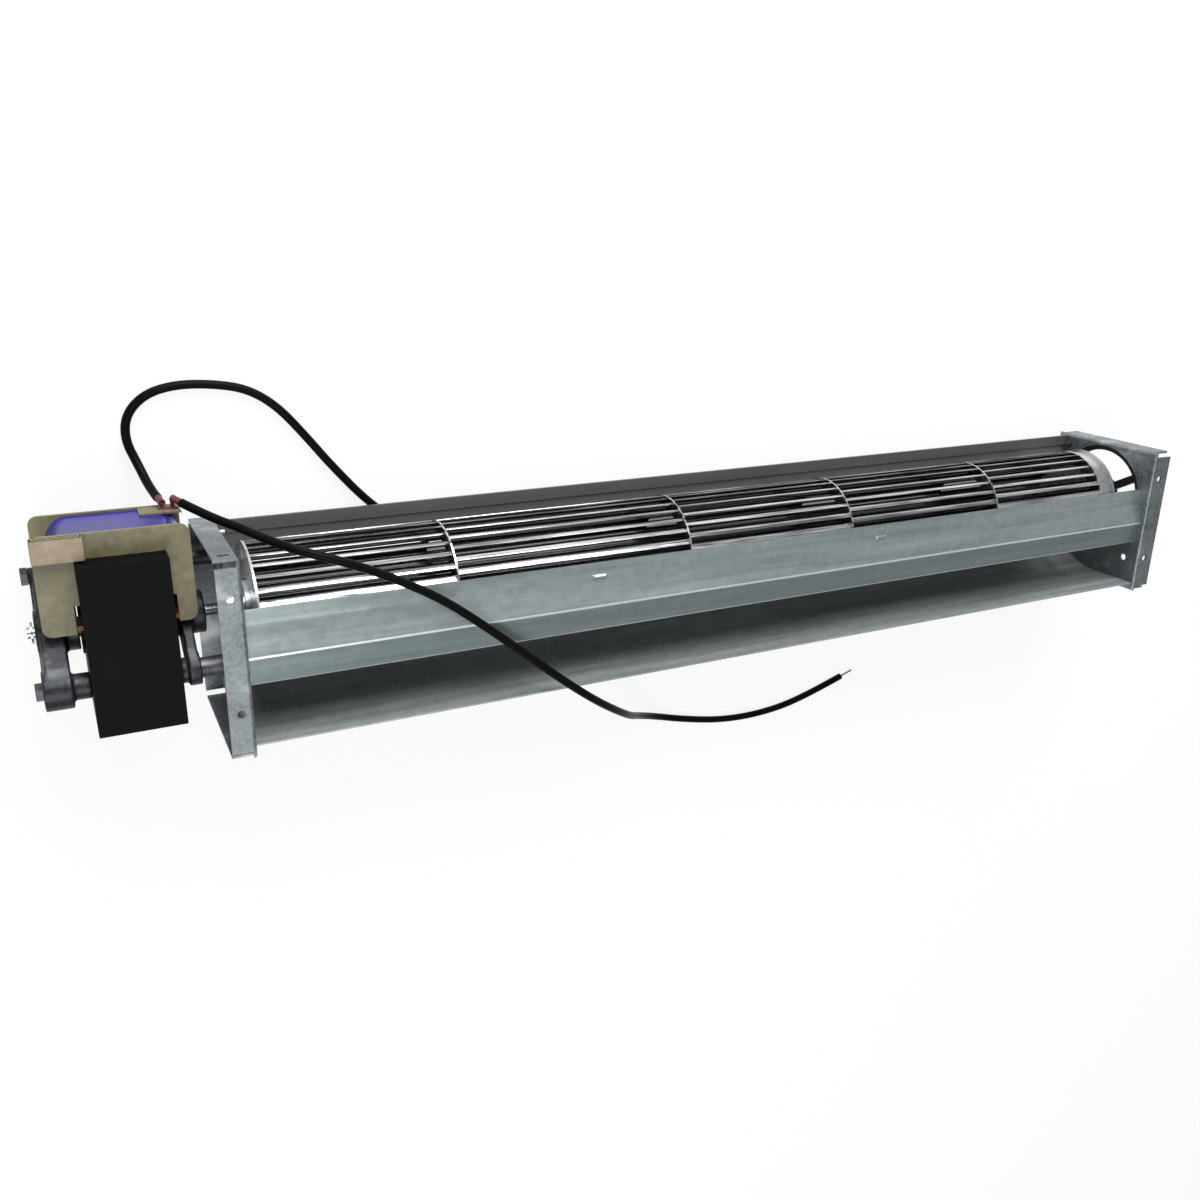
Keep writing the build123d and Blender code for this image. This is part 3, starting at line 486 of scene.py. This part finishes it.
@dataclass
class CastBracket:
    """Die-cast bearing bracket: a boss on the shaft, two ribbed arms and two long feet.

    Args:
        node: Packed bracket that it stands for.
        outward: -1 for the outer bracket, 1 for the inner one.
        face_x: Face under the screw heads, or under the tubes.
        stack_x: Face of the core that the feet stand on.
        boss_x: Outer end of the boss.
        arm_t: Thickness of the arms.
        front_ear: Radius round the front screw.
        screw_y: Each screw's distance from the shaft along Y.
        screw_z: The same along Z.
        boss_radius: Outside of the boss.
        bore_radius: Bore for the bush.
        bore_reach: How far the cutter of the bore stands out at each end.
        front_foot: Radius of the foot at the front screw.
        rear_foot: Radius of the foot and of the ear at the rear screw.
        rib_radius: Half of a rib's width.
        rib_drop: Top of a rib below the face.
        recess: Arms below the face.
        boss_clear: Gap between boss and core.
        arm_points: Points round each end of an arm.
        round_points: Points round a rod.
        voxel: Fineness of the casting's skin.
        smoothing: Steps that soften its edges.
    """

    node: str
    outward: int
    face_x: float
    stack_x: float
    boss_x: float
    arm_t: float
    front_ear: float
    screw_y: float = 0.018
    screw_z: float = 0.022
    boss_radius: float = 0.0095
    bore_radius: float = 0.0051
    bore_reach: float = 0.01
    front_foot: float = 0.0055
    rear_foot: float = 0.0037
    rib_radius: float = 0.0013
    rib_drop: float = 0.0003
    recess: float = 0.0015
    boss_clear: float = 0.0015
    arm_points: int = 24
    round_points: int = 48
    voxel: float = 0.0006
    smoothing: int = 4

    def rod(self, form: bmesh.types.BMesh, x: tuple[float, float], spot: tuple[float, float],
            radius: float) -> None:
        """Adds a round rod along X.

        Args:
            form: Mesh that gets it.
            x: Its ends.
            spot: Its Y and Z.
            radius: Its radius.
        """
        turned = Matrix.Rotation(math.radians(90), 4, "Y")
        middle = Matrix.Translation(((x[0] + x[1]) / 2, *spot)) @ turned
        bmesh.ops.create_cone(form, cap_ends=True, segments=self.round_points, radius1=radius,
                              radius2=radius, depth=x[1] - x[0], matrix=middle)

    def arm(self, form: bmesh.types.BMesh, x: tuple[float, float], start: tuple[float, float],
            start_radius: float, end: tuple[float, float], end_radius: float) -> None:
        """Adds a tapered arm with round ends, flat across X.

        Args:
            form: Mesh that gets it.
            x: Its faces.
            start: Y and Z of its first end.
            start_radius: Radius there.
            end: Y and Z of its second end.
            end_radius: Radius there.
        """
        points = []
        for spot, radius in ((start, start_radius), (end, end_radius)):
            for step in range(self.arm_points):
                turn = Vector((radius, 0.0))
                turn.rotate(Matrix.Rotation(step * math.radians(360) / self.arm_points, 2))
                points += [form.verts.new((face, spot[0] + turn.x, spot[1] + turn.y))
                           for face in x]
        hull = bmesh.ops.convex_hull(form, input=points)
        inside = [v for v in hull["geom_interior"] if isinstance(v, bmesh.types.BMVert)]
        bmesh.ops.delete(form, geom=inside, context="VERTS")

    def along(self, a: float, b: float) -> tuple[float, float]:
        """Puts two places along X in rising order."""
        return (min(a, b), max(a, b))

    def solid(self) -> bmesh.types.BMesh:
        """Joins boss, arms, ribs, ears and feet.

        Returns:
            Mesh of overlapping closed forms.
        """
        out = self.outward
        form = bmesh.new()
        shaft = (SHAFT_Y, SHAFT_Z)
        ears = ((SHAFT_Y - self.screw_y, SHAFT_Z + self.screw_z, self.front_ear, self.front_foot),
                (SHAFT_Y + self.screw_y, SHAFT_Z - self.screw_z, self.rear_foot, self.rear_foot))
        boss = self.along(self.stack_x + out * self.boss_clear, self.boss_x)
        self.rod(form, boss, shaft, self.boss_radius)
        arm_face = self.face_x - out * self.recess
        plate = self.along(arm_face, arm_face - out * self.arm_t)
        rib = self.along(self.face_x - out * self.rib_drop, arm_face - out * self.arm_t / 2)
        for y, z, ear, foot in ears:
            spot = (y, z)
            self.arm(form, plate, shaft, self.boss_radius, spot, ear)
            self.arm(form, rib, shaft, self.rib_radius, spot, self.rib_radius)
            self.rod(form, self.along(self.face_x, arm_face - out * self.arm_t), spot, ear)
            self.rod(form, self.along(self.face_x, self.stack_x), spot, foot)
        return form

    def build(self) -> None:
        """Builds the bracket, with the soft edges and fillets of a casting."""
        name = f"cast_{self.node}"
        piece = placed(name, mesh_of(name, self.solid()))
        skin = piece.modifiers.new("skin", "REMESH")
        skin.mode = "VOXEL"
        skin.voxel_size = self.voxel
        skin.use_smooth_shade = True
        soft = piece.modifiers.new("soft", "SMOOTH")
        soft.iterations = self.smoothing
        cutter_form = bmesh.new()
        reach = self.outward * self.bore_reach
        self.rod(cutter_form, self.along(self.stack_x - reach, self.boss_x + reach),
                 (SHAFT_Y, SHAFT_Z), self.bore_radius)
        cutter_mesh = mesh_of("bore", cutter_form)
        cutter = placed("bore", cutter_mesh)
        bore = piece.modifiers.new("bore", "BOOLEAN")
        bore.object = cutter
        bore.operation = "DIFFERENCE"
        shaped = bpy.data.meshes.new_from_object(
            piece.evaluated_get(bpy.context.evaluated_depsgraph_get()))
        piece.modifiers.clear()
        piece.data = shaped
        bpy.data.objects.remove(cutter)
        bpy.data.meshes.remove(cutter_mesh)
        shaped.materials.clear()
        shaped.materials.append(DIE_CAST.build())
        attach(piece, HOUSING)
        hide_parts(self.node)
        log.info("%s: %d faces", piece.name, len(shaped.polygons))


@dataclass
class Motor:
    """Shaded-pole motor with its coil and brackets.

    Args:
        boss_out: Inner boss beyond its arms.
        cover_width: Connector's cover along X.
        cover_height: The cover along Y.
        cover_depth: The cover along Z.
        cover_wall: Its wall.
        cover_gap: How far it stands out from the bobbin.
        cover_inset: How far its rear stands in from the bobbin's flange.
        cover_bevel_steps: Facets across each of its rounded edges.
    """

    boss_out: float = 0.006
    cover_width: float = 0.0192
    cover_height: float = 0.0100
    cover_depth: float = 0.0048
    cover_wall: float = 0.0012
    cover_gap: float = 0.0002
    cover_inset: float = 0.0004
    cover_bevel_steps: int = 3

    def dress(self) -> None:
        """Dresses the motor's pieces."""
        dress(VARNISHED_STACK, "motor_core", "coil_core_bar", "motor_rotor")
        dress(VARNISHED_COPPER, "shading_rings")
        dress(MOULDED_NYLON, "coil_bobbin")
        dress(WOUND_TAPE, "coil_winding")
        dress(RED_SLEEVE, "terminals")
        dress(SINTERED_BRONZE, "motor_bushes")
        dress(BLACKENED_STEEL, "motor_spacers", "motor_screws")
        dress(ZINC_PLATED, "motor_nuts")

    def connector_cover(self) -> None:
        """Builds the open-topped cover round the connector, on the bobbin's front flange."""
        low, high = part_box("coil_bobbin")
        x = (low[0] - self.cover_gap, low[0] + self.cover_width)
        y = (high[1] - self.cover_height, high[1])
        z = (high[2] - self.cover_depth + self.cover_inset, high[2] + self.cover_gap)
        wall = self.cover_wall
        outline = [(x[0], z[0]), (x[0], z[1]), (x[1], z[1]), (x[1], z[0])]
        form = bmesh.new()
        foot = [form.verts.new((a, y[0], b)) for a, b in outline]
        top = [form.verts.new((a, y[1], b)) for a, b in outline]
        inner = [form.verts.new((a, y[1], b)) for a, b in (
            (x[0] + wall, z[0] + wall / 2), (x[0] + wall, z[1] - wall),
            (x[1] - wall, z[1] - wall), (x[1] - wall, z[0] + wall / 2))]
        deep = [form.verts.new((v.co.x, y[0] + wall, v.co.z)) for v in inner]
        form.faces.new(foot)
        form.faces.new(deep)
        for i in range(4):
            j = (i + 1) % 4
            for near, far in ((foot, top), (top, inner), (inner, deep)):
                form.faces.new((near[i], near[j], far[j], far[i]))
        bmesh.ops.recalc_face_normals(form, faces=form.faces)
        bmesh.ops.bevel(form, geom=form.edges[:], offset=wall / 4,
                        segments=self.cover_bevel_steps, affect="EDGES")
        mesh = mesh_of("connector_cover", form)
        mesh.materials.append(PALE_NYLON.build())
        piece = placed("connector_cover", mesh)
        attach(piece, HOUSING)
        log.info("%s: %d faces", piece.name, len(mesh.polygons))

    def brackets(self) -> None:
        """Builds both bearing brackets."""
        low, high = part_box("outer_bearing_bracket")
        CastBracket("outer_bearing_bracket", outward=-1, face_x=low[0], stack_x=high[0],
                    boss_x=low[0], arm_t=0.0095, front_ear=0.0085).build()
        low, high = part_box("inner_bearing_bracket")
        CastBracket("inner_bearing_bracket", outward=1, face_x=high[0] - self.boss_out,
                    stack_x=low[0], boss_x=high[0], arm_t=0.0045, front_ear=0.007,
                    recess=0.0005).build()


@dataclass
class LeadWire:
    """One lead of the motor, lying loose.

    Args:
        name: Name of the piece.
        solid: Packed tube that it stands for.
        route: Points that its line follows, in metres.
        length: Real length in metres; not used.
        ends: Bare conductor at its end; not used.
        diameter: Outside of the insulation, in metres.
        smoothness: Steps between two points of the route.
        roundness: Steps round a quarter of the lead.
    """

    name: str
    solid: str
    route: list[Point]
    length: float
    ends: tuple[str, ...] = ()
    diameter: float = 0.004
    smoothness: int = 12
    roundness: int = 6

    def build(self) -> None:
        """Builds the lead as a smooth round curve."""
        curve = bpy.data.curves.new(self.name, "CURVE")
        curve.dimensions = "3D"
        curve.resolution_u = self.smoothness
        curve.bevel_depth = self.diameter / 2
        curve.bevel_resolution = self.roundness
        curve.use_fill_caps = True
        spline = curve.splines.new("NURBS")
        spline.points.add(len(self.route) - 1)
        for point, place in zip(spline.points, self.route):
            point.co = (*place, 1.0)
        spline.order_u = 3    # quadratic: it keeps close to its points
        spline.use_endpoint_u = True
        piece = placed(self.name, curve)
        curve.materials.append(EXTRUDED_PVC.build())
        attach(piece, HOUSING)
        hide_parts(self.solid)
        log.info("%s: %d points", self.name, len(self.route))


@dataclass
class Leads:
    """Both lead wires and their stripped ends.

    Args:
        rear: Route of the lead that goes down behind the fan, in metres.
        front: Route of the lead that crosses over the fan.
        length: Length of each, in metres.
    """

    rear: list[Point] = field(default_factory=lambda: [
        (-0.2645, 0.0516, 0.0210), (-0.2665, 0.0541, 0.0130), (-0.2695, 0.0631, 0.0046),
        (-0.2735, 0.0741, 0.0020), (-0.2720, 0.0851, 0.0020), (-0.2635, 0.0936, 0.0020),
        (-0.2505, 0.0971, 0.0020), (-0.2345, 0.0966, 0.0020), (-0.2195, 0.0936, 0.0020),
        (-0.2070, 0.0851, 0.0020), (-0.1955, 0.0711, 0.0020), (-0.1835, 0.0551, 0.0020),
        (-0.1665, 0.0351, 0.0020), (-0.1445, 0.0171, 0.0020), (-0.1185, 0.0051, 0.0020),
        (-0.0865, -0.0009, 0.0020), (-0.0505, -0.0039, 0.0020), (-0.0145, -0.0019, 0.0020),
        (0.0215, -0.0034, 0.0020), (0.0525, -0.0089, 0.0020), (0.0825, -0.0164, 0.0020),
        (0.1120, -0.0209, 0.0020), (0.1415, -0.0199, 0.0020),
    ])
    front: list[Point] = field(default_factory=lambda: [
        (-0.2560, 0.0507, 0.0300), (-0.2455, 0.0456, 0.0410), (-0.2355, 0.0431, 0.0530),
        (-0.2275, 0.0406, 0.0660), (-0.2175, 0.0376, 0.0765), (-0.2045, 0.0336, 0.0805),
        (-0.1885, 0.0266, 0.0800), (-0.1725, 0.0181, 0.0795), (-0.1545, 0.0071, 0.0790),
        (-0.1345, -0.0089, 0.0790), (-0.1125, -0.0279, 0.0795), (-0.0945, -0.0434, 0.0805),
        (-0.0755, -0.0584, 0.0780), (-0.0545, -0.0739, 0.0660), (-0.0365, -0.0889, 0.0420),
        (-0.0195, -0.1029, 0.0170), (-0.0005, -0.1129, 0.0034), (0.0215, -0.1199, 0.0020),
        (0.0495, -0.1259, 0.0020), (0.0795, -0.1269, 0.0020), (0.1095, -0.1224, 0.0020),
        (0.1395, -0.1124, 0.0020),
    ])
    length: float = 0.498

    def build(self) -> None:
        """Builds the leads and dresses the bare strands."""
        dress(TINNED_STRANDS, "lead_conductors")
        LeadWire("rear_lead_wire", "rear_lead", self.rear, self.length).build()
        LeadWire("front_lead_wire", "front_lead", self.front, self.length,
                 ("lead_conductors",)).build()


@dataclass(frozen=True)
class Lamp:
    """Square soft lamp that faces the object.

    Args:
        name: Lamp's name.
        place: Its place in metres.
        size: Side length in metres.
        power: Power in watts.
    """

    name: str
    place: Point
    size: float
    power: float

    def build(self, aim: Point) -> None:
        """Adds the lamp, turned to the place that it lights."""
        data = bpy.data.lights.new(self.name, "AREA")
        data.size = self.size
        data.energy = self.power
        lamp = placed(self.name, data)
        lamp.location = self.place
        towards = Vector(aim) - Vector(self.place)
        lamp.rotation_euler = towards.to_track_quat("-Z", "Y").to_euler()


@dataclass
class Studio:
    """Pale floor, soft lamps and the camera.

    Args:
        lens: Focal length in millimetres.
        sensor: Sensor's width in millimetres.
        near: Nearest distance that the camera sees, in metres.
        eye: Camera's place.
        right: Camera's right.
        up: Camera's up.
        back: Away from what the camera sees.
        floor_colour: Paper of the floor.
        floor_half: Half of the floor's side.
        floor_drop: Gap below the object.
        floor_glow: Share of the floor that glows white for the camera.
        world_colour: Light from all around.
        world_strength: Its strength.
        lamps: The soft lamps, the strongest on the inlet side.
        aim: What the lamps face.
    """

    lens: float = 33.63
    sensor: float = 36.0
    near: float = 0.01
    eye: Point = (-0.3072, 0.17635, 0.5312)
    right: Point = (0.8937, 0.0179, 0.4483)
    up: Point = (0.1348, 0.9423, -0.3064)
    back: Point = (-0.4279, 0.3343, 0.8397)
    floor_colour: str = "#F7F7F7"
    floor_half: float = 6.0
    floor_drop: float = 0.0002
    floor_glow: float = 0.86
    world_colour: str = "#F2F4F6"
    world_strength: float = 0.45
    lamps: tuple[Lamp, ...] = (Lamp("inlet_side", (0.1, 1.3, 0.75), 1.1, 30.0),
                               Lamp("front", (-0.5, -0.5, 1.3), 0.8, 9.0))
    aim: Point = (0.0, 0.0, 0.04)

    def floor(self) -> None:
        """Builds the floor, which the camera sees as near white with the object's shadow."""
        mesh = bpy.data.meshes.new("floor")
        half = self.floor_half
        corners = ((-half, -half), (half, -half), (half, half), (-half, half))
        mesh.from_pydata([(x, y, -self.floor_drop) for x, y in corners], [], [(0, 1, 2, 3)])
        piece = placed("floor", mesh)
        material = bpy.data.materials.new("pale_paper")
        material.use_nodes = True
        tree = material.node_tree
        tree.nodes.clear()
        paper = add_node(tree, "ShaderNodeBsdfDiffuse", {"Color": linear(self.floor_colour)})
        glow = add_node(tree, "ShaderNodeEmission", {"Color": linear("#FFFFFF"), "Strength": 1.0})
        path = add_node(tree, "ShaderNodeLightPath").outputs
        seen = path["Is Camera Ray"]
        for other in ("Is Glossy Ray", "Is Transmission Ray"):
            seen = add_node(tree, "ShaderNodeMath", {0: seen, 1: path[other]},
                            operation="MAXIMUM").outputs[0]
        share = add_node(tree, "ShaderNodeMath", {0: seen, 1: self.floor_glow},
                         operation="MULTIPLY")
        mix = add_node(tree, "ShaderNodeMixShader", {
            0: share.outputs[0], 1: paper.outputs[0], 2: glow.outputs[0]})
        add_node(tree, "ShaderNodeOutputMaterial", {"Surface": mix.outputs[0]})
        mesh.materials.append(material)

    def lights(self) -> None:
        """Sets the pale world and the soft lamps."""
        world = bpy.data.worlds.new("studio")
        world.use_nodes = True
        background = world.node_tree.nodes["Background"]
        background.inputs["Color"].default_value = linear(self.world_colour)
        background.inputs["Strength"].default_value = self.world_strength
        bpy.context.scene.world = world
        for lamp in self.lamps:
            lamp.build(self.aim)

    def camera(self) -> None:
        """Places the camera and makes it the scene's."""
        data = bpy.data.cameras.new("camera")
        data.lens = self.lens
        data.sensor_width = self.sensor
        data.clip_start = self.near
        camera = placed("camera", data)
        columns = Matrix((self.right, self.up, self.back)).transposed().to_4x4()
        camera.matrix_world = Matrix.Translation(self.eye) @ columns
        bpy.context.scene.camera = camera

    def build(self) -> None:
        """Builds the studio, with plain colours as they are."""
        self.floor()
        self.lights()
        self.camera()
        bpy.context.scene.view_settings.view_transform = "Standard"


def main() -> None:
    """Builds the looks in order."""
    logging.basicConfig(level=logging.INFO)
    Duct().dress()
    Impeller().dress()
    FarBearing().dress()
    motor = Motor()
    motor.dress()
    motor.brackets()
    motor.connector_cover()
    Leads().build()
    Studio().build()


if __name__ == "__main__":
    main()
